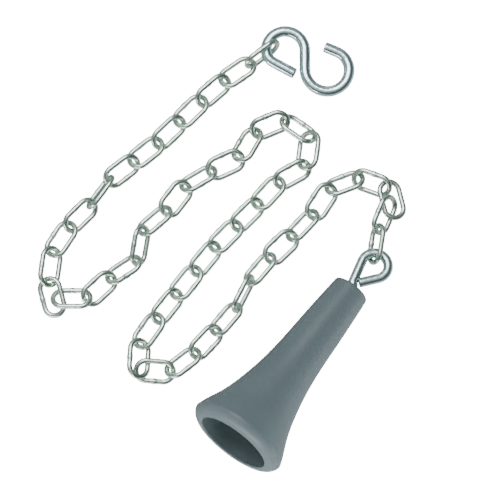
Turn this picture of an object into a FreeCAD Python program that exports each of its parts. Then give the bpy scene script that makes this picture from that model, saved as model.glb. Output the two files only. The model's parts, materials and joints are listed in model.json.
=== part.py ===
import FreeCAD, Part
import math
import os

from FreeCAD import Placement, Rotation, Vector

# A chain pull as it lies on a table: an open S-hook, a welded oval-link chain, a bent-wire eye bolt
# and a hollow bell-mouthed handle that hangs from the chain. Millimetres, +Z up.
# The origin is on the table, under the middle of the laid-out pull.

X_AXIS = Vector(1, 0, 0)
Y_AXIS = Vector(0, 1, 0)
Z_AXIS = Vector(0, 0, 1)

# ---- S-hook: one rod bent flat, its chain bowl held up a little by the first link -------------
HOOK_ROD = 6.0
HOOK_END_ROUND = 1.1
HOOK_TAIL = Vector(39.74, 97.92, 0)
HOOK_TAIL_HEADING = 152.0
HOOK_TILT = 4.4
CHAIN_BOWL_RADIUS = 10.6
LEVER_BOWL_RADIUS = 12.1
HOOK_STEPS = [
    ("run", 13.4),
    ("bend", 7.7, -62.0),
    ("bend", CHAIN_BOWL_RADIUS, -180.0),
    ("run", 10.3),
    ("bend", LEVER_BOWL_RADIUS, 180.0),
    ("bend", 10.7, 68.0),
    ("run", 7.4),
]

# ---- chain link: a welded oval ----------------------------------------------------------------
LINK_WIRE = 3.0
LINK_LENGTH = 23.4
LINK_WIDTH = 14.2
END_RADIUS = (LINK_WIDTH - LINK_WIRE) / 2
HALF_STRAIGHT = (LINK_LENGTH - LINK_WIDTH) / 2

# ---- lay of the chain: heading of each link, in degrees, in four runs from the hook -----------
CHAIN_START = Vector(21.84, 108.67, 0)
RUN_FROM_HOOK = [217, 215, 221, 225, 224, 219, 218, 234, 225, 237, 262]
RUN_BACK_UP = [-75, -1, 43, 32, 80, 41, 53, 31, 25, 61, 21, -35]
RUN_DOWN = [-97, -151, -132, -135, -134, -129, -128, -128, -125, -93]
RUN_TO_HANDLE = [-4, 38, 47, 50, 63, 50, 44, 47, 57, 21, -21, -76, -112, -99]
LINK_HEADINGS = RUN_FROM_HOOK + RUN_BACK_UP + RUN_DOWN + RUN_TO_HANDLE

# Two links pulled nearly straight: how far apart the centres of their meeting end arcs are.
END_ARC_GAP = 7.5

# Links that hook round the side of the link before them: (along, across) from that link's centre.
SIDE_HOOKED = {
    13: (2.6, 5.5),
    24: (9.3, -2.7),
    34: (6.2, 4.3),
    44: (10.4, -2.0),
    45: (10.8, -1.0),
    46: (3.9, -3.3),
}

# Neighbouring links lean opposite ways: (roll, height of centre, tip of the nose).
LEAN_EVEN = (24, 5.1, 0)
LEAN_ODD = (-42, 5.25, 0)
LEAN_AT_TURNS = {
    1: (-75, 7.2, 0),
    2: (25, 5.5, 0),
    7: (-40, 5.75, 0),
    8: (70, 6.8, 0),
    10: (25, 4.6, 0),
    11: (-35, 5.75, 0),
    12: (20, 4.1, -5),
    13: (-30, 6.0, 5),
    14: (30, 5.1, 0),
    15: (-40, 6.25, 10),
    16: (55, 6.95, 10),
    18: (25, 5.6, 0),
    20: (25, 5.6, 0),
    21: (-30, 5.3, -10),
    22: (35, 6.85, 10),
    23: (-40, 5.5, 0),
    24: (30, 6.6, 5),
    32: (25, 5.1, -5),
    33: (-30, 6.25, 5),
    34: (25, 4.35, -5),
    35: (-35, 5.25, 0),
    36: (40, 5.1, 0),
    37: (-40, 5.75, 0),
    38: (75, 6.95, 0),
    42: (25, 5.6, 5),
    43: (-35, 5.1, 0),
    44: (40, 5.6, 5),
    45: (-20, 5.1, 0),
    46: (-50, 7.2, 0),
    47: (60, 7.05, -5),
}

# ---- handle: hollow bell, its axis +X from the mouth to the top, zero at the top face ---------
HANDLE_LENGTH = 110.5
TOP_RADIUS = 10.5
TOP_ROUND = 1.5
RIM_RADIUS = 28.1
RIM_BACK = 5.0
MOUTH_RADIUS = 21.4
MOUTH_ROUND = 0.8
RIM_BULGE = (0.24, 0.62)
TOP_WALL = 9.0
SHANK_CLEARANCE = 0.35
BODY_CURVE = [(32.0, 12.75), (56.0, 14.5), (79.0, 18.6), (93.0, 23.05), (101.0, 26.5)]
BORE_CURVE = [(30.0, 8.6), (60.0, 10.9), (84.0, 15.6), (98.0, 19.3)]
BORE_END_RADIUS = 7.2

HANDLE_TOP = Vector(70.29, -22.18, 10.13)
HANDLE_HEADING = 53.8
HANDLE_TILT = 9.6

# ---- eye bolt, washer and lock nut ------------------------------------------------------------
EYE_ROD = 5.4
EYE_END_ROUND = 0.6
EYE_RADIUS = 7.35
SHANK_INSIDE = 17.0
EYE_STEPS = [
    ("run", SHANK_INSIDE),
    ("bend", 3.5, 35.0),
    ("run", 1.5),
    ("bend", 3.5, -22.0),
    ("run", 12.7),
    ("bend", EYE_RADIUS, -231.5),
    ("run", 11.0),
]
WASHER_RADIUS = 6.0
WASHER_THICKNESS = 1.0
WASHER_PLAY = 0.2
NUT_ACROSS_FLATS = 10.0
NUT_THICKNESS = 5.0
NUT_CHAMFER = 0.6
THREAD_PLAY = 0.05


def in_plane(heading, length=1.0):
    """A vector in the XY plane, at this heading in degrees."""
    angle = math.radians(heading)
    return Vector(length * math.cos(angle), length * math.sin(angle), 0)


def bent_path(start, heading, steps):
    """Centreline of a rod bent in the XY plane; a bend's angle is positive to the left."""
    edges = []
    here = start
    for step in steps:
        if step[0] == "run":
            there = here + in_plane(heading, step[1])
            edges.append(Part.LineSegment(here, there).toShape())
        else:
            radius, turn = step[1:]
            side = math.copysign(90, turn)
            centre = here + in_plane(heading + side, radius)
            middle = centre - in_plane(heading + side + turn / 2, radius)
            there = centre - in_plane(heading + side + turn, radius)
            edges.append(Part.Arc(here, middle, there).toShape())
            heading += turn
        here = there
    return Part.Wire(edges)


def bent_rod(start, heading, steps, diameter, end_round):
    """Round rod along a bent path, with both cut ends rounded off."""
    path = bent_path(start, heading, steps)
    section = Part.Wire(Part.makeCircle(diameter / 2, start, in_plane(heading)))
    rod = path.makePipeShell([section], True, False)
    cuts = [edge for face in rod.Faces if isinstance(face.Surface, Part.Plane) for edge in face.Edges]
    return rod.makeFillet(end_round, cuts)


def s_hook():
    """The hook stays level across and leans up towards its chain bowl."""
    hook = bent_rod(HOOK_TAIL, HOOK_TAIL_HEADING, HOOK_STEPS, HOOK_ROD, HOOK_END_ROUND)
    low_side = Vector(hook.BoundBox.XMax - HOOK_ROD / 2, 0, 0)
    hook.rotate(low_side, Y_AXIS, HOOK_TILT)
    hook.translate(Vector(0, 0, HOOK_ROD / 2))
    return hook


def oval_ring():
    """One link in its own frame: length along X, width along Y, the wire's middle in the XY plane."""
    end_arc = Part.makeTorus(END_RADIUS, LINK_WIRE / 2, Vector(), Z_AXIS, -180, 180, 180)
    side = Part.makeCylinder(LINK_WIRE / 2, 2 * HALF_STRAIGHT, Vector(-HALF_STRAIGHT, 0, 0), X_AXIS)
    pieces = []
    for turn in (-90, 90):
        end = end_arc.copy()
        end.rotate(Vector(), Z_AXIS, turn)
        end.translate(in_plane(turn + 90, HALF_STRAIGHT))
        pieces.append(end)
    for across in (-END_RADIUS, END_RADIUS):
        straight = side.copy()
        straight.translate(Vector(0, across, 0))
        pieces.append(straight)
    return pieces[0].fuse(pieces[1:]).removeSplitter().Solids[0]


def link_centres():
    """Walk along the chain from the hook: each link starts where the one before it ends."""
    centres = [CHAIN_START]
    for index in range(1, len(LINK_HEADINGS)):
        before = in_plane(LINK_HEADINGS[index - 1])
        along = in_plane(LINK_HEADINGS[index])
        if index + 1 in SIDE_HOOKED:
            forward, left = SIDE_HOOKED[index + 1]
            step = before * forward + Z_AXIS.cross(before) * left + along * HALF_STRAIGHT
        else:
            between = (before + along).normalize()
            step = (before + along) * HALF_STRAIGHT + between * END_ARC_GAP
        centres.append(centres[-1] + step)
    return centres


def link_placements():
    """Where each link lies, how it leans and how its nose tips."""
    placements = []
    for index, centre in enumerate(link_centres()):
        usual = LEAN_ODD if index % 2 == 0 else LEAN_EVEN
        roll, height, tip = LEAN_AT_TURNS.get(index + 1, usual)
        turn = Rotation(Z_AXIS, LINK_HEADINGS[index]) * Rotation(Y_AXIS, -tip) * Rotation(X_AXIS, roll)
        placements.append(Placement(centre + Vector(0, 0, height), turn))
    return placements


def handle_placement():
    """The handle's own +X points out of its top, and slopes down to the table."""
    turn = Rotation(Z_AXIS, HANDLE_HEADING) * Rotation(Y_AXIS, HANDLE_TILT)
    return Placement(HANDLE_TOP, turn)


def spline(points):
    curve = Part.BSplineCurve()
    curve.interpolate(points)
    return curve.toShape()


def pull_handle():
    """Revolved bell: body curve, rolled rim, bore and the shank hole through the top wall."""
    def at(back, radius):
        return Vector(-back, radius, 0)

    hole = EYE_ROD / 2 + SHANK_CLEARANCE
    rim_start = at(HANDLE_LENGTH - RIM_BACK, RIM_RADIUS)
    bulge_back, bulge_out = RIM_BULGE
    rim_bulge = at(HANDLE_LENGTH - bulge_back * RIM_BACK,
                   MOUTH_RADIUS + bulge_out * (RIM_RADIUS - MOUTH_RADIUS))
    mouth = at(HANDLE_LENGTH, MOUTH_RADIUS)
    bore_start = at(HANDLE_LENGTH - MOUTH_ROUND, MOUTH_RADIUS - MOUTH_ROUND)
    shoulder = at(TOP_ROUND, TOP_RADIUS)
    corner = 1 - math.sqrt(0.5)
    top_corner = at(corner * TOP_ROUND, TOP_RADIUS - corner * TOP_ROUND)
    body = spline([shoulder] + [at(*point) for point in BODY_CURVE] + [rim_start])
    bore = spline([bore_start] + [at(*point) for point in reversed(BORE_CURVE)]
                  + [at(TOP_WALL, BORE_END_RADIUS)])
    outline = [
        Part.LineSegment(at(0, hole), at(0, TOP_RADIUS - TOP_ROUND)).toShape(),
        Part.Arc(at(0, TOP_RADIUS - TOP_ROUND), top_corner, shoulder).toShape(),
        body,
        Part.Arc(rim_start, rim_bulge, mouth).toShape(),
        Part.LineSegment(mouth, bore_start).toShape(),
        bore,
        Part.LineSegment(at(TOP_WALL, BORE_END_RADIUS), at(TOP_WALL, hole)).toShape(),
        Part.LineSegment(at(TOP_WALL, hole), at(0, hole)).toShape(),
    ]
    return Part.Face(Part.Wire(outline)).revolve(Vector(), X_AXIS, 360)


def eye_bolt():
    """Straight shank through the handle's top, then the wire turned round into an eye."""
    return bent_rod(Vector(-SHANK_INSIDE, 0, 0), 0, EYE_STEPS, EYE_ROD, EYE_END_ROUND)


def washer():
    back = TOP_WALL + WASHER_PLAY
    bore = EYE_ROD / 2 + SHANK_CLEARANCE
    disc = Part.makeCylinder(WASHER_RADIUS, WASHER_THICKNESS, Vector(-back, 0, 0), -X_AXIS)
    return disc.cut(Part.makeCylinder(bore, WASHER_THICKNESS, Vector(-back, 0, 0), -X_AXIS))


def lock_nut():
    """Hexagonal nut, its corners turned off."""
    back = TOP_WALL + WASHER_PLAY + WASHER_THICKNESS
    corner_radius = NUT_ACROSS_FLATS / math.sqrt(3)
    corners = [Vector(-back, *in_plane(60 * k, corner_radius)[:2]) for k in range(7)]
    hexagon = Part.Face(Part.makePolygon(corners)).extrude(-X_AXIS * NUT_THICKNESS)
    turned = Part.makeCylinder(corner_radius, NUT_THICKNESS, Vector(-back, 0, 0), -X_AXIS)
    turned = turned.makeChamfer(NUT_CHAMFER, turned.Edges)
    bore = Part.makeCylinder(EYE_ROD / 2 + THREAD_PLAY, NUT_THICKNESS, Vector(-back, 0, 0), -X_AXIS)
    return hexagon.common(turned).cut(bore)


def placed(shape, placement):
    shape = shape.copy()
    shape.transformShape(placement.toMatrix())
    return shape


def all_nodes():
    """Every separate piece of the pull, by name, where it lies."""
    nodes = {"s_hook": s_hook()}
    ring = oval_ring()
    for number, placement in enumerate(link_placements(), start=1):
        nodes[f"chain_link_{number:02d}"] = placed(ring, placement)
    handle_place = handle_placement()
    for name, piece in [("eye_bolt", eye_bolt()), ("washer", washer()), ("lock_nut", lock_nut()),
                        ("pull_handle", pull_handle())]:
        nodes[name] = placed(piece, handle_place)
    return nodes


def main():
    os.makedirs("parts", exist_ok=True)
    for name, shape in all_nodes().items():
        shape.exportStep(f"parts/{name}.step")


main()
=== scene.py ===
import json
import math

import bpy
import numpy as np
from mathutils import Matrix, Vector


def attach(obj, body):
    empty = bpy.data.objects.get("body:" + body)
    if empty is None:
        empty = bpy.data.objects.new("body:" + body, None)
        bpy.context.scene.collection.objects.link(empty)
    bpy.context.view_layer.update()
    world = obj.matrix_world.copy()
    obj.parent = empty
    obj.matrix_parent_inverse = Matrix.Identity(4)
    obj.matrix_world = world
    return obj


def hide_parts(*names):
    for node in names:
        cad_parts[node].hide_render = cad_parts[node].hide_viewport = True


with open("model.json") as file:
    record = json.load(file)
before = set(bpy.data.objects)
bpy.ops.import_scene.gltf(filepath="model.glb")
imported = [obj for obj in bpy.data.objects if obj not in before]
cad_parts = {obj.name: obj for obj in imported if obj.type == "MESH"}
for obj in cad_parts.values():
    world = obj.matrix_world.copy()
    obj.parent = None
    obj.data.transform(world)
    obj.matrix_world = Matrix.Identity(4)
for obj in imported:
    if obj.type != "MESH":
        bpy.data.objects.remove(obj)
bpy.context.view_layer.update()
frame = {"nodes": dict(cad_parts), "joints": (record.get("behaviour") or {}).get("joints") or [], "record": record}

# A chain pull lying on a pale table: zinc S-hook, welded chain, bent-wire eye bolt and a moulded
# bell-mouthed handle. Lengths are in millimetres for the pieces, and in metres for the camera, the
# lamps, the floor and the depth of a bump.
MM = 0.001

# ---- rods and wires ---------------------------------------------------------------------------
HOOK_ROD = 6.0
HOOK_END_ROUND = 1.1
HOOK_TAIL_HEADING = 152.0
HOOK_STEPS = [
    ("run", 13.4),
    ("bend", 7.7, -62.0),
    ("bend", 10.6, -180.0),
    ("run", 10.3),
    ("bend", 12.1, 180.0),
    ("bend", 10.7, 68.0),
    ("run", 7.4),
]
LEVER_BOWL_STEP = 4

EYE_ROD = 5.4
EYE_END_ROUND = 0.6
SHANK_INSIDE = 17.0
EYE_STEPS = [
    ("run", SHANK_INSIDE),
    ("bend", 3.5, 35.0),
    ("run", 1.5),
    ("bend", 3.5, -22.0),
    ("run", 12.7),
    ("bend", 7.35, -231.5),
    ("run", 11.0),
]
THREAD_LENGTH = 8.5
THREAD_PITCH = 1.0
THREAD_DEPTH = 0.45

LINK_COUNT = 47
LINK_WIRE = 3.0
LINK_END_RADIUS = 5.6
LINK_HALF_STRAIGHT = 4.6
WELD_SWELL = 0.20
WELD_LENGTH = 1.1
WELD_FLASH = 0.07
FLASH_FROM_WELD = 0.75
FLASH_LENGTH = 0.22

# How far each rod strays from round.
HOOK_DENTS = (0.018, 0.012)
LINK_WAVER = 0.012
EYE_WAVER = 0.010
HOOK_SEED = 5
FIRST_LINK_SEED = 100

# Corners round each rod's section, the gaps between its rings, and the rings in a rounded end.
HOOK_SIDES = 40
LINK_SIDES = 26
EYE_SIDES = 36
HOOK_RING_GAP = 0.35
LINK_RING_GAP = 0.4
EYE_RING_GAP = 0.3
THREAD_RING_GAP = 0.09
END_RINGS = 7

# ---- handle: distance back from its top face, and radius ---------------------------------------
HANDLE_LENGTH = 110.5
TOP_RADIUS = 10.5
TOP_ROUND = 1.5
RIM_RADIUS = 28.1
RIM_BACK = 5.0
MOUTH_RADIUS = 21.4
MOUTH_ROUND = 0.8
RIM_BULGE = (0.24, 0.62)
TOP_WALL = 9.0
HOLE_RADIUS = EYE_ROD / 2 + 0.35
BODY_CURVE = [(32.0, 12.75), (56.0, 14.5), (79.0, 18.6), (93.0, 23.05), (101.0, 26.5)]
BORE_CURVE = [(98.0, 19.3), (84.0, 15.6), (60.0, 10.9), (30.0, 8.6)]
BORE_END_RADIUS = 7.2
HANDLE_WAVER = 0.03
HANDLE_WAVER_LENGTH = 9.0
PARTING_RIDGE = 0.09
PARTING_DEGREES = 1.1

# Columns round the handle, with closer ones at the parting ridge, and rows along its outline.
HANDLE_SIDES = 240
RIDGE_COLUMNS = [-1.6, -1.1, -0.7, -0.35, 0.0, 0.35, 0.7, 1.1, 1.6]
TOP_ROUND_ROWS = 9
BODY_ROWS = 90
RIM_ROWS = 26
MOUTH_ROUND_ROWS = 6
BORE_ROWS = 70

# ---- metal: its bright, dull and tinted colours, and its smoothest and roughest finish ------------
ROD_ZINC = ((0.78, 0.92, 0.93, 1), (0.48, 0.62, 0.64, 1), (0.58, 0.77, 0.82, 1), 0.10, 0.23)
EYE_ZINC = ((0.60, 0.73, 0.72, 1), (0.43, 0.54, 0.53, 1), (0.49, 0.63, 0.63, 1), 0.17, 0.30)
CHAIN_ZINC = ((0.72, 0.83, 0.74, 1), (0.44, 0.53, 0.45, 1), (0.56, 0.68, 0.58, 1), 0.18, 0.32)
PIT = (0.16, 0.17, 0.16, 1)

# ---- plastic and floor ------------------------------------------------------------------------
SLATE = (0.087, 0.115, 0.124, 1)
SLATE_FLOW = (0.096, 0.126, 0.136, 1)
# lighter slate for convex edges: partly rubbed wear, partly a painted highlight
SLATE_RUBBED_AND_HIGHLIT = (0.15, 0.19, 0.205, 1)
SLATE_SCUFFED = (0.135, 0.165, 0.175, 1)
BOARD = (0.86, 0.86, 0.86, 1)
BOARD_MOTTLE = (0.88, 0.88, 0.88, 1)
FLOOR_GLOW = 18.0
FLOOR_LEVEL = -0.40
FLOOR_HALF_SIZE = 12.0

# ---- room: what the metal mirrors where there is no lamp --------------------------------------
WALL_LIGHT = (0.36, 0.40, 0.42, 1)
WALL_DARK = (0.11, 0.135, 0.14, 1)
DARK_WALL_HEADING = -42
CEILING = (0.85, 0.87, 0.88, 1)
TABLE_IN_SHADE = (0.30, 0.33, 0.34, 1)
TABLE_NEAR_LIGHT = (0.80, 0.86, 0.88, 1)
LIT_TABLE_HEADING = -70
BACKDROP = (16.0, 16.0, 16.0, 1)

# ---- camera -----------------------------------------------------------------------------------
VIEW_ELEVATION = 79.0
VIEW_DISTANCE = 6.0
VIEW_WIDTH = 0.2717
VIEW_TARGET = Vector((0.01521, 0.00135, 0.0))
SENSOR = 36.0
FARTHEST_SEEN = 20.0


# ================================ node materials ================================
class Nodes:
    """Short hand for building the nodes of one material or of the room."""

    def __init__(self, owner):
        owner.use_nodes = True
        self.owner = owner
        self.tree = owner.node_tree

    def fill(self, socket, value):
        """Links the socket to another node's output, or gives it a plain value."""
        if isinstance(value, bpy.types.NodeSocket):
            self.tree.links.new(value, socket)
        else:
            socket.default_value = value

    def add(self, kind, inputs=None, **settings):
        node = self.tree.nodes.new(kind)
        for key, value in settings.items():
            setattr(node, key, value)
        for key, value in (inputs or {}).items():
            self.fill(node.inputs[key], value)
        return node

    def noise(self, vector, scale, detail, roughness=0.55):
        values = {"Vector": vector, "Scale": scale, "Detail": detail, "Roughness": roughness}
        return self.add("ShaderNodeTexNoise", values).outputs["Fac"]

    def stretched(self, vector, scale):
        return self.add("ShaderNodeMapping", {"Vector": vector, "Scale": scale}).outputs["Vector"]

    def ramp(self, value, low, high, low_out=0.0, high_out=1.0, curve="LINEAR"):
        values = {"Value": value, "From Min": low, "From Max": high, "To Min": low_out, "To Max": high_out}
        return self.add("ShaderNodeMapRange", values, interpolation_type=curve).outputs["Result"]

    def smooth(self, value, low, high):
        return self.ramp(value, low, high, curve="SMOOTHSTEP")

    def blend(self, amount, first, second):
        """Colour that goes from first to second. The sockets go by number: several share a name."""
        factor, colour_a, colour_b, colour_out = 0, 6, 7, 2
        values = {factor: amount, colour_a: first, colour_b: second}
        return self.add("ShaderNodeMix", values, data_type="RGBA").outputs[colour_out]

    def towards(self, ray, heading):
        """How nearly a ray points along a level heading: 1 along it, -1 away from it."""
        values = {0: ray, 1: direction(heading, 0)}
        return self.add("ShaderNodeVectorMath", values, operation="DOT_PRODUCT").outputs["Value"]

    def bump(self, height, strength, distance, below=None):
        values = {"Height": height, "Strength": strength, "Distance": distance}
        if below:
            values["Normal"] = below
        return self.add("ShaderNodeBump", values).outputs["Normal"]

    def finish(self, shader, **sockets):
        """Sets the named sockets of the shader node and gives back the material or the room."""
        for name, value in sockets.items():
            self.fill(self.tree.nodes[shader].inputs[name.replace("_", " ")], value)
        return self.owner


def zinc_material(name, bright, dull, tint, smoothest, roughest):
    """Zinc-plated drawn wire: streaks along the wire, cloudy passivation and small pits.
    It reads the wire's own coordinates: millimetres along it, and across its section."""
    make = Nodes(bpy.data.materials.new(name))
    wire = make.add("ShaderNodeAttribute", attribute_name="wire").outputs["Vector"]
    streaks = make.noise(make.stretched(wire, (0.25, 3.0, 3.0)), scale=1.6, detail=5.0)
    clouds = make.noise(make.stretched(wire, (0.5, 0.5, 0.5)), scale=0.9, detail=3.0)
    specks = make.noise(wire, scale=7.0, detail=2.0)
    base = make.blend(make.ramp(streaks, 0.35, 0.68), bright, dull)
    tinted = make.blend(make.ramp(clouds, 0.42, 0.66, 0.0, 0.75), base, tint)
    colour = make.blend(make.ramp(specks, 0.66, 0.74, 0.0, 0.35), tinted, PIT)
    roughness = make.ramp(streaks, 0.3, 0.7, smoothest, roughest)
    drawn = make.bump(streaks, strength=0.34, distance=0.00004)
    pitted = make.bump(make.ramp(specks, 0.66, 0.74), strength=-0.25, distance=0.00004, below=drawn)
    return make.finish("Principled BSDF", Base_Color=colour, Metallic=1.0, Roughness=roughness,
                       Normal=pitted)


def plastic_material(name):
    """Satin moulded plastic: slate grey, a fine mould grain, faint flow clouds, and convex edges lightened partly
    as rubbed wear and partly as a painted highlight.
    """
    make = Nodes(bpy.data.materials.new(name))
    place = make.add("ShaderNodeTexCoord").outputs["Object"]
    grain = make.noise(place, scale=2600.0, detail=3.0)
    flow = make.noise(make.stretched(place, (14.0, 30.0, 30.0)), scale=1.0, detail=3.0)
    scuffs = make.noise(make.stretched(place, (60.0, 900.0, 900.0)), scale=1.0, detail=6.0, roughness=0.7)
    base = make.blend(make.ramp(flow, 0.35, 0.65), SLATE, SLATE_FLOW)
    pointy = make.add("ShaderNodeNewGeometry").outputs["Pointiness"]
    # convex edges such as the crease below the rim and the rounded mouth are lightened by pointiness: partly
    # rubbed wear, partly a painted highlight
    rubbed_and_highlit_edges = make.blend(make.ramp(pointy, 0.515, 0.56, 0.0, 0.55), base, SLATE_RUBBED_AND_HIGHLIT)
    scuffed = make.blend(make.ramp(scuffs, 0.62, 0.78, 0.0, 0.15), rubbed_and_highlit_edges, SLATE_SCUFFED)
    roughness = make.ramp(scuffs, 0.3, 0.75, 0.34, 0.46)
    rippled = make.bump(flow, strength=0.04, distance=0.0004)
    grained = make.bump(grain, strength=0.16, distance=0.00005, below=rippled)
    return make.finish("Principled BSDF", Base_Color=scuffed, Roughness=roughness, Normal=grained,
                       Specular_IOR_Level=0.30)


def floor_material(name):
    """Pale matt board that glows, so that it looks evenly lit."""
    make = Nodes(bpy.data.materials.new(name))
    place = make.add("ShaderNodeTexCoord").outputs["Object"]
    mottle = make.noise(place, scale=3.0, detail=3.0)
    colour = make.blend(make.ramp(mottle, 0.3, 0.7), BOARD, BOARD_MOTTLE)
    return make.finish("Principled BSDF", Base_Color=colour, Roughness=0.9, Specular_IOR_Level=0.1,
                       Emission_Color=colour, Emission_Strength=FLOOR_GLOW)


# ================================ shapes ================================
def in_plane(heading, length=1.0):
    angle = math.radians(heading)
    return np.array([math.cos(angle), math.sin(angle), 0.0]) * length


def bent_path(heading, steps, spacing):
    """Points, headings in degrees and bend centres of a rod bent in the XY plane, from zero.
    A bend is its radius and its angle, positive to the left."""
    here = np.zeros(3)
    points, headings, centres = [], [], []
    for step in steps:
        if step[0] == "run":
            count = max(2, round(step[1] / spacing))
            for k in range(count):
                points.append(here + in_plane(heading, step[1] * k / count))
                headings.append(heading)
            here = here + in_plane(heading, step[1])
            centres.append(None)
        else:
            radius, turn = step[1:]
            side = math.copysign(90, turn)
            centre = here + in_plane(heading + side, radius)
            count = max(2, round(radius * abs(math.radians(turn)) / spacing))
            for k in range(count):
                turned = turn * k / count
                points.append(centre - in_plane(heading + side + turned, radius))
                headings.append(heading + turned)
            here = centre - in_plane(heading + side + turn, radius)
            heading += turn
            centres.append(centre)
    points.append(here)
    headings.append(heading)
    return np.array(points), np.array(headings), centres


def path_length(points):
    return np.linalg.norm(np.diff(points, axis=0), axis=1).sum()


def ring_faces(rings, sides, closed):
    """Four-sided faces between each ring of corners and the next, and round to the first if closed."""
    faces = []
    for ring in range(rings if closed else rings - 1):
        here = ring * sides
        after = (ring + 1) % rings * sides
        for k in range(sides):
            k_next = (k + 1) % sides
            faces.append((here + k, here + k_next, after + k_next, after + k))
    return faces


def tube(points, headings, radius, sides, closed):
    """A tube round a path in the XY plane. radius(along, angle) gives its size in millimetres.
    Returns vertices, faces and each vertex's own wire coordinates."""
    steps = np.linalg.norm(np.diff(points, axis=0), axis=1)
    along = np.concatenate([[0.0], np.cumsum(steps)])
    angles = np.linspace(0, 2 * math.pi, sides, endpoint=False)
    verts, wire = [], []
    for centre, heading, s in zip(points, headings, along):
        side = in_plane(heading + 90)
        for angle in angles:
            out = radius(s, angle)
            verts.append(centre + side * (out * math.cos(angle)) + np.array([0, 0, out * math.sin(angle)]))
            wire.append((s, out * math.cos(angle), out * math.sin(angle)))
    rings = len(points)
    faces = ring_faces(rings, sides, closed)
    if not closed:
        faces.append(tuple(reversed(range(sides))))
        faces.append(tuple(range((rings - 1) * sides, rings * sides)))
    return np.array(verts), faces, np.array(wire)


def with_rounded_ends(points, headings, rounding):
    """Packs extra rings into the last stretch at each end, so that the rounded ends are smooth."""
    near = rounding * (1 - np.cos(np.linspace(0, math.pi / 2, END_RINGS)))
    start = [points[0] + in_plane(headings[0], s) for s in near]
    end = [points[-1] - in_plane(headings[-1], s) for s in near[::-1]]
    far_from_start = np.linalg.norm(points - points[0], axis=1) > rounding
    far_from_end = np.linalg.norm(points - points[-1], axis=1) > rounding
    keep = far_from_start & far_from_end
    return (np.vstack([start, points[keep], end]),
            np.concatenate([[headings[0]] * END_RINGS, headings[keep], [headings[-1]] * END_RINGS]))


def end_radius(s, length, full, rounding):
    """Radius of a round rod whose cut ends are rounded off."""
    inset = max(rounding - min(s, length - s), 0.0)
    return full - rounding + math.sqrt(max(rounding ** 2 - inset ** 2, 0.0))


def natural_spline(points, count):
    """Smooth curve through the points: a natural cubic, by chord length."""
    points = np.array(points, float)
    t = np.concatenate([[0], np.cumsum(np.linalg.norm(np.diff(points, axis=0), axis=1))])
    gaps = np.diff(t)
    n = len(points)
    system = np.eye(n)
    right = np.zeros((n, points.shape[1]))
    for k in range(1, n - 1):
        system[k, k - 1:k + 2] = gaps[k - 1], 2 * (gaps[k - 1] + gaps[k]), gaps[k]
        right[k] = 6 * ((points[k + 1] - points[k]) / gaps[k] - (points[k] - points[k - 1]) / gaps[k - 1])
    curve = np.linalg.solve(system, right)
    out = []
    for value in np.linspace(0, t[-1], count):
        k = min(np.searchsorted(t, value, side="right") - 1, n - 2)
        a, b, gap = t[k + 1] - value, value - t[k], gaps[k]
        out.append(curve[k] * a ** 3 / (6 * gap) + curve[k + 1] * b ** 3 / (6 * gap)
                   + (points[k] / gap - curve[k] * gap / 6) * a
                   + (points[k + 1] / gap - curve[k + 1] * gap / 6) * b)
    return np.array(out)


def arc_through(first, middle, last, count):
    """Points on the circle through three points of a profile."""
    (ax, ay), (bx, by), (cx, cy) = first, middle, last
    d = 2 * (ax * (by - cy) + bx * (cy - ay) + cx * (ay - by))
    a2, b2, c2 = ax * ax + ay * ay, bx * bx + by * by, cx * cx + cy * cy
    ox = (a2 * (by - cy) + b2 * (cy - ay) + c2 * (ay - by)) / d
    oy = (a2 * (cx - bx) + b2 * (ax - cx) + c2 * (bx - ax)) / d
    radius = math.hypot(ax - ox, ay - oy)
    start, mid, end = (math.atan2(y - oy, x - ox) for x, y in (first, middle, last))
    turn = (end - start) % (2 * math.pi)
    if (mid - start) % (2 * math.pi) > turn:
        turn -= 2 * math.pi
    return np.array([(ox + radius * math.cos(start + turn * k / (count - 1)),
                      oy + radius * math.sin(start + turn * k / (count - 1))) for k in range(count)])


def mesh_piece(name, verts, faces, matrix, material, body, nodes, wire=None):
    """A new smooth mesh, placed by matrix, riding on a body and standing for the CAD nodes."""
    mesh = bpy.data.meshes.new(name)
    placed = [matrix @ Vector(v * MM) for v in verts]
    mesh.from_pydata(placed, [], faces)
    mesh.validate()
    mesh.shade_smooth()
    if wire is not None:
        attribute = mesh.attributes.new("wire", "FLOAT_VECTOR", "POINT")
        attribute.data.foreach_set("vector", np.asarray(wire, np.float32).ravel())
    mesh.materials.append(material)
    piece = bpy.data.objects.new(name, mesh)
    bpy.context.scene.collection.objects.link(piece)
    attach(piece, body)
    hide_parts(*nodes)


def axes_matrix(origin, x_axis, y_axis, z_axis):
    matrix = Matrix.Identity(4)
    for column, axis in enumerate((x_axis, y_axis, z_axis, origin)):
        for row in range(3):
            matrix[row][column] = axis[row]
    return matrix


# ================================ the S-hook ================================
def make_hook(material):
    """The rod's plane and its lever bowl are where the frame's mount says."""
    mount = next(m for m in frame["record"]["mounts"] if m["name"] == "lever_bowl")
    points, headings, centres = bent_path(HOOK_TAIL_HEADING, HOOK_STEPS, HOOK_RING_GAP)
    points, headings = with_rounded_ends(points - centres[LEVER_BOWL_STEP], headings, HOOK_END_ROUND)
    length = path_length(points)
    waves = np.random.default_rng(HOOK_SEED).uniform(0, 2 * math.pi, 4)

    def radius(s, angle):
        dents = HOOK_DENTS[0] * math.sin(0.9 * s + waves[0]) * math.cos(2 * angle + waves[1])
        dents += HOOK_DENTS[1] * math.sin(2.3 * s + waves[2]) * math.cos(3 * angle + waves[3])
        return end_radius(s, length, HOOK_ROD / 2, HOOK_END_ROUND) + dents

    verts, faces, wire = tube(points, headings, radius, HOOK_SIDES, False)
    normal = Vector(mount["axis"]).normalized()
    level = Vector((0, 1, 0))
    matrix = axes_matrix(Vector(mount["pos_m"]), level.cross(normal), level, normal)
    mesh_piece("s_hook_rod", verts, faces, matrix, material, "hook", ["s_hook"], wire)


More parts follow.
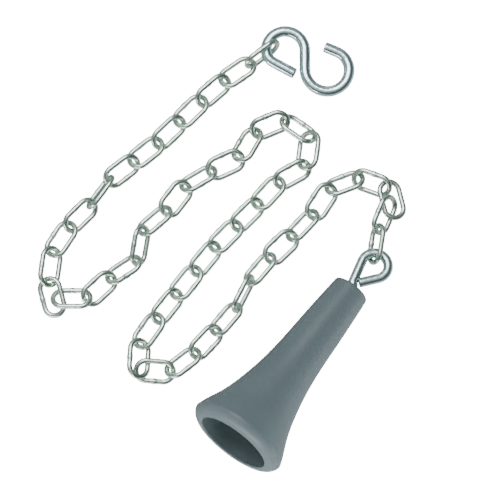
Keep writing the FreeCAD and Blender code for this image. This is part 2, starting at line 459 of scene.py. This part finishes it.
# ================================ the chain ================================
def oval_path():
    """The link's centreline, starting in the middle of one side, where the weld is."""
    half, end = LINK_HALF_STRAIGHT, LINK_END_RADIUS
    steps = [("run", half), ("bend", end, 180.0), ("run", 2 * half), ("bend", end, 180.0), ("run", half)]
    points, headings, _ = bent_path(0.0, steps, LINK_RING_GAP)
    return points[:-1] - np.array([0, end, 0]), headings[:-1]


def surface_axes(node):
    """Middle, long axis and thin axis of a CAD node, from the spread of its surface."""
    mesh = frame["nodes"][node].data
    areas = np.array([face.area for face in mesh.polygons])
    centres = np.array([face.center for face in mesh.polygons])
    middle = (centres * areas[:, None]).sum(0) / areas.sum()
    spread = ((centres - middle) * areas[:, None]).T @ (centres - middle)
    _, vectors = np.linalg.eigh(spread)
    return middle, vectors[:, 2], vectors[:, 0]


def link_radius(rng, length):
    """Radius of one link's wire. Its weld is a swell, with a line of flash on each side of it."""
    phase = rng.uniform(0, 2 * math.pi, 4)
    swell = WELD_SWELL * rng.uniform(0.7, 1.1)
    lean = rng.uniform(-0.35, 0.35)

    def radius(s, angle):
        away = min(s, length - s)
        weld = swell * math.exp(-(away / WELD_LENGTH) ** 2)
        line = math.exp(-((away - FLASH_FROM_WELD) / FLASH_LENGTH) ** 2)
        flash = WELD_FLASH * line * (1 + lean * math.cos(angle + phase[0]))
        waver = LINK_WAVER * math.sin(1.1 * s + phase[1]) * math.cos(2 * angle + phase[2])
        return LINK_WIRE / 2 + weld + flash + waver

    return radius


def make_chain(material):
    """One piece for each link, placed by its CAD node. Wire marks and the side of the weld vary."""
    points, headings = oval_path()
    length = np.linalg.norm(points - np.roll(points, -1, axis=0), axis=1).sum()
    names = [f"chain_link_{number:02d}" for number in range(1, LINK_COUNT + 1)]
    axes = [surface_axes(name) for name in names]
    for index, name in enumerate(names):
        rng = np.random.default_rng(FIRST_LINK_SEED + index)
        verts, faces, wire = tube(points, headings, link_radius(rng, length), LINK_SIDES, True)
        wire = wire + np.array([rng.uniform(0, 400), 0, 0])
        weld_side = 1 if rng.uniform() > 0.5 else -1
        middle, long_axis, flat_axis = axes[index]
        onward = axes[min(index + 1, LINK_COUNT - 1)][0] - axes[max(index - 1, 0)][0]
        long_axis = Vector(long_axis * (1 if long_axis @ onward > 0 else -1))
        flat_axis = Vector(flat_axis * (1 if flat_axis[2] > 0 else -1))
        matrix = axes_matrix(Vector(middle), long_axis * weld_side,
                             flat_axis.cross(long_axis) * weld_side, flat_axis)
        mesh_piece(f"{name}_wire", verts, faces, matrix, material, f"link_{index + 1:02d}", [name],
                   wire)


# ================================ the eye bolt ================================
def handle_axes():
    """Top of the handle: +X out of the top face, +Z up, from the joint that the handle swivels on."""
    swivel = next(j for j in frame["joints"] if j["name"] == "handle_swivel")
    out = Vector(swivel["axis"]).normalized()
    across = Vector((0, 0, 1)).cross(out).normalized()
    return axes_matrix(Vector(swivel["pos_m"]), out, across, out.cross(across))


def with_thread_rings(points, headings):
    """Packs rings along the threaded part of the shank, close enough to show its turns."""
    along = np.arange(EYE_END_ROUND + 0.02, THREAD_LENGTH, THREAD_RING_GAP)
    shank = [np.array([s - SHANK_INSIDE, 0, 0]) for s in along]
    plain = int(np.argmax(points[:, 0] >= THREAD_LENGTH - SHANK_INSIDE))
    return (np.vstack([points[:END_RINGS], shank, points[plain:]]),
            np.concatenate([[0.0] * (END_RINGS + len(along)), headings[plain:]]))


def make_eye(material):
    """The shank lies along the handle's axis, with the handle's top face at zero."""
    points, headings, _ = bent_path(0.0, EYE_STEPS, EYE_RING_GAP)
    points, headings = with_rounded_ends(points, headings, EYE_END_ROUND)
    points, headings = with_thread_rings(points - np.array([SHANK_INSIDE, 0, 0]), headings)
    length = path_length(points)

    def radius(s, angle):
        full = end_radius(s, length, EYE_ROD / 2, EYE_END_ROUND)
        if EYE_END_ROUND < s < THREAD_LENGTH:
            turn = (s / THREAD_PITCH - angle / (2 * math.pi)) % 1.0
            fade = min(1.0, (THREAD_LENGTH - s) / THREAD_PITCH)
            full -= THREAD_DEPTH * fade * abs(2 * turn - 1)
        return full + EYE_WAVER * math.sin(1.7 * s) * math.cos(2 * angle + 0.4)

    verts, faces, wire = tube(points, headings, radius, EYE_SIDES, False)
    mesh_piece("eye_bolt_rod", verts, faces, handle_axes(), material, "eye", ["eye_bolt"],
               wire)


def dress_small_metal(material):
    """The washer and the lock nut keep their CAD shape."""
    for name in ("washer", "lock_nut"):
        node = frame["nodes"][name]
        node.data.materials.clear()
        node.data.materials.append(material)


# ================================ the handle ================================
def handle_profile():
    """Outline from the hole in the top face, over the body and the rolled rim, and back up the bore,
    as distances back from the top face and radii. Also the first and the last row of the body.
    Rows set close to each corner keep it crisp."""
    shoulder = (TOP_ROUND, TOP_RADIUS)
    corner = 1 - math.sqrt(0.5)
    rim_start = (HANDLE_LENGTH - RIM_BACK, RIM_RADIUS)
    bulge = (HANDLE_LENGTH - RIM_BULGE[0] * RIM_BACK,
             MOUTH_RADIUS + RIM_BULGE[1] * (RIM_RADIUS - MOUTH_RADIUS))
    mouth = (HANDLE_LENGTH, MOUTH_RADIUS)
    bore_start = (HANDLE_LENGTH - MOUTH_ROUND, MOUTH_RADIUS - MOUTH_ROUND)
    top_face = [(0.0, HOLE_RADIUS), (0.0, HOLE_RADIUS + 0.3), (0.0, TOP_RADIUS - TOP_ROUND - 0.2)]
    rounded = arc_through((0.0, TOP_RADIUS - TOP_ROUND),
                          (corner * TOP_ROUND, TOP_RADIUS - corner * TOP_ROUND),
                          shoulder, TOP_ROUND_ROWS)
    body = natural_spline([shoulder] + BODY_CURVE + [rim_start], BODY_ROWS)[1:]
    rim = arc_through(rim_start, bulge, mouth, RIM_ROWS)[1:]
    mouth_round = arc_through(mouth, (HANDLE_LENGTH - 0.1, MOUTH_RADIUS - 0.5), bore_start,
                              MOUTH_ROUND_ROWS)[1:]
    bore = natural_spline([bore_start] + BORE_CURVE + [(TOP_WALL, BORE_END_RADIUS)], BORE_ROWS)[1:]
    floor = [(TOP_WALL, BORE_END_RADIUS - 0.4), (TOP_WALL, HOLE_RADIUS + 0.4), (TOP_WALL, HOLE_RADIUS)]
    hole = [(TOP_WALL - 1.0, HOLE_RADIUS), (1.0, HOLE_RADIUS)]
    body_start = len(top_face) + len(rounded)
    outline = np.vstack([top_face, rounded, body, rim, mouth_round, bore, floor, hole])
    return outline, body_start, body_start + len(body)


def make_handle(material):
    """Revolved bell with a fine parting ridge down both sides, as a two-part mould leaves."""
    profile, body_start, body_end = handle_profile()
    fine = np.radians(RIDGE_COLUMNS)
    even = np.linspace(0, 2 * math.pi, HANDLE_SIDES, endpoint=False) + math.pi / HANDLE_SIDES
    angles = np.sort(np.concatenate([even, fine % (2 * math.pi), math.pi + fine]))
    off_ridge = np.degrees(np.arcsin(np.minimum(np.abs(np.sin(angles)), 1.0)))
    ridge = PARTING_RIDGE * np.exp(-(2 * off_ridge / PARTING_DEGREES) ** 2)
    verts = []
    for row, (back, radius) in enumerate(profile):
        on_body = body_start < row < body_end
        extra = ridge + HANDLE_WAVER * np.sin(back / HANDLE_WAVER_LENGTH + 2 * angles)
        for angle, out in zip(angles, radius + extra * on_body):
            verts.append((-back, out * math.cos(angle), out * math.sin(angle)))
    faces = [face[::-1] for face in ring_faces(len(profile), len(angles), True)]
    mesh_piece("pull_handle_shell", np.array(verts), faces, handle_axes(), material, "handle",
               ["pull_handle"])


# ================================ stage, light and camera ================================
def aim(item, place, target):
    item.location = place
    item.rotation_euler = (Vector(target) - Vector(place)).to_track_quat("-Z", "Y").to_euler()


def make_camera():
    data = bpy.data.cameras.new("camera")
    data.sensor_width = SENSOR
    data.lens = SENSOR * VIEW_DISTANCE / VIEW_WIDTH
    data.clip_end = FARTHEST_SEEN
    camera = bpy.data.objects.new("camera", data)
    bpy.context.scene.collection.objects.link(camera)
    lift = math.radians(VIEW_ELEVATION)
    place = VIEW_TARGET + Vector((0, -math.cos(lift), math.sin(lift))) * VIEW_DISTANCE
    aim(camera, place, VIEW_TARGET)
    bpy.context.scene.camera = camera


def area_light(name, heading, elevation, distance, size, radiance, mirrored=True):
    """A soft rectangular lamp of the given brightness, aimed at the middle of the table. Angles are in
    degrees and lengths in metres. One that isn't mirrored lights only what is matt."""
    data = bpy.data.lights.new(name, "AREA")
    data.shape = "RECTANGLE"
    data.size, data.size_y = size
    data.energy = radiance * math.pi * size[0] * size[1]
    lamp = bpy.data.objects.new(name, data)
    lamp.visible_camera = False
    lamp.visible_glossy = mirrored
    bpy.context.scene.collection.objects.link(lamp)
    aim(lamp, direction(heading, elevation) * distance, (0, 0, 0))


def direction(heading, elevation):
    heading, elevation = math.radians(heading), math.radians(elevation)
    level = math.cos(elevation)
    return Vector((level * math.cos(heading), level * math.sin(heading), math.sin(elevation)))


def make_lamps():
    """A large softbox high behind the object and a low strip in front make the highlights on the metal.
    Two more low strips light only the sides of the plastic."""
    area_light("key_softbox", heading=116, elevation=66, distance=1.5, size=(1.15, 0.92), radiance=7.2)
    area_light("low_strip", heading=-34, elevation=-7, distance=1.2, size=(1.3, 0.5), radiance=9.5,
               mirrored=False)
    area_light("front_fill", heading=-124, elevation=6, distance=1.2, size=(0.9, 0.4), radiance=9.0,
               mirrored=False)
    area_light("front_strip", heading=-118, elevation=8, distance=1.2, size=(1.1, 0.30), radiance=10.0)


def make_room():
    """Walls that darken towards one side, under a pale ceiling. Below the horizon is the bright table
    that the object lies on, which falls into shade at the back. The camera itself sees plain white."""
    world = bpy.data.worlds.new("studio")
    bpy.context.scene.world = world
    make = Nodes(world)
    ray = make.add("ShaderNodeTexCoord").outputs["Generated"]
    height = make.add("ShaderNodeSeparateXYZ", {"Vector": ray}).outputs["Z"]
    walls = make.blend(make.smooth(make.towards(ray, DARK_WALL_HEADING), -0.35, 0.35),
                       WALL_LIGHT, WALL_DARK)
    upper = make.blend(make.smooth(height, 0.75, 0.97), walls, CEILING)
    table = make.blend(make.smooth(make.towards(ray, LIT_TABLE_HEADING), -0.6, 0.3),
                       TABLE_IN_SHADE, TABLE_NEAR_LIGHT)
    whole = make.blend(make.smooth(height, -0.06, 0.06), table, upper)
    seen = make.add("ShaderNodeLightPath").outputs["Is Camera Ray"]
    make.finish("Background", Color=make.blend(seen, whole, BACKDROP))


def make_floor():
    """A lit white board, set low enough that no pose of the chain dips under it. The pieces don't
    mirror it: the room below the horizon stands for the bright table they lie on."""
    side = FLOOR_HALF_SIZE
    mesh = bpy.data.meshes.new("floor")
    corners = [(x * side, y * side, FLOOR_LEVEL) for x, y in ((-1, -1), (1, -1), (1, 1), (-1, 1))]
    mesh.from_pydata(corners, [], [(0, 1, 2, 3)])
    mesh.materials.append(floor_material("pale_board"))
    floor = bpy.data.objects.new("floor", mesh)
    bpy.context.scene.collection.objects.link(floor)
    floor.visible_glossy = False
    floor.visible_diffuse = False
    floor.visible_shadow = False


def main():
    make_camera()
    eye_zinc = zinc_material("zinc_eye", *EYE_ZINC)
    make_hook(zinc_material("zinc_rod", *ROD_ZINC))
    make_chain(zinc_material("zinc_chain", *CHAIN_ZINC))
    make_eye(eye_zinc)
    dress_small_metal(eye_zinc)
    make_handle(plastic_material("grey_plastic"))
    make_floor()
    make_lamps()
    make_room()


main()
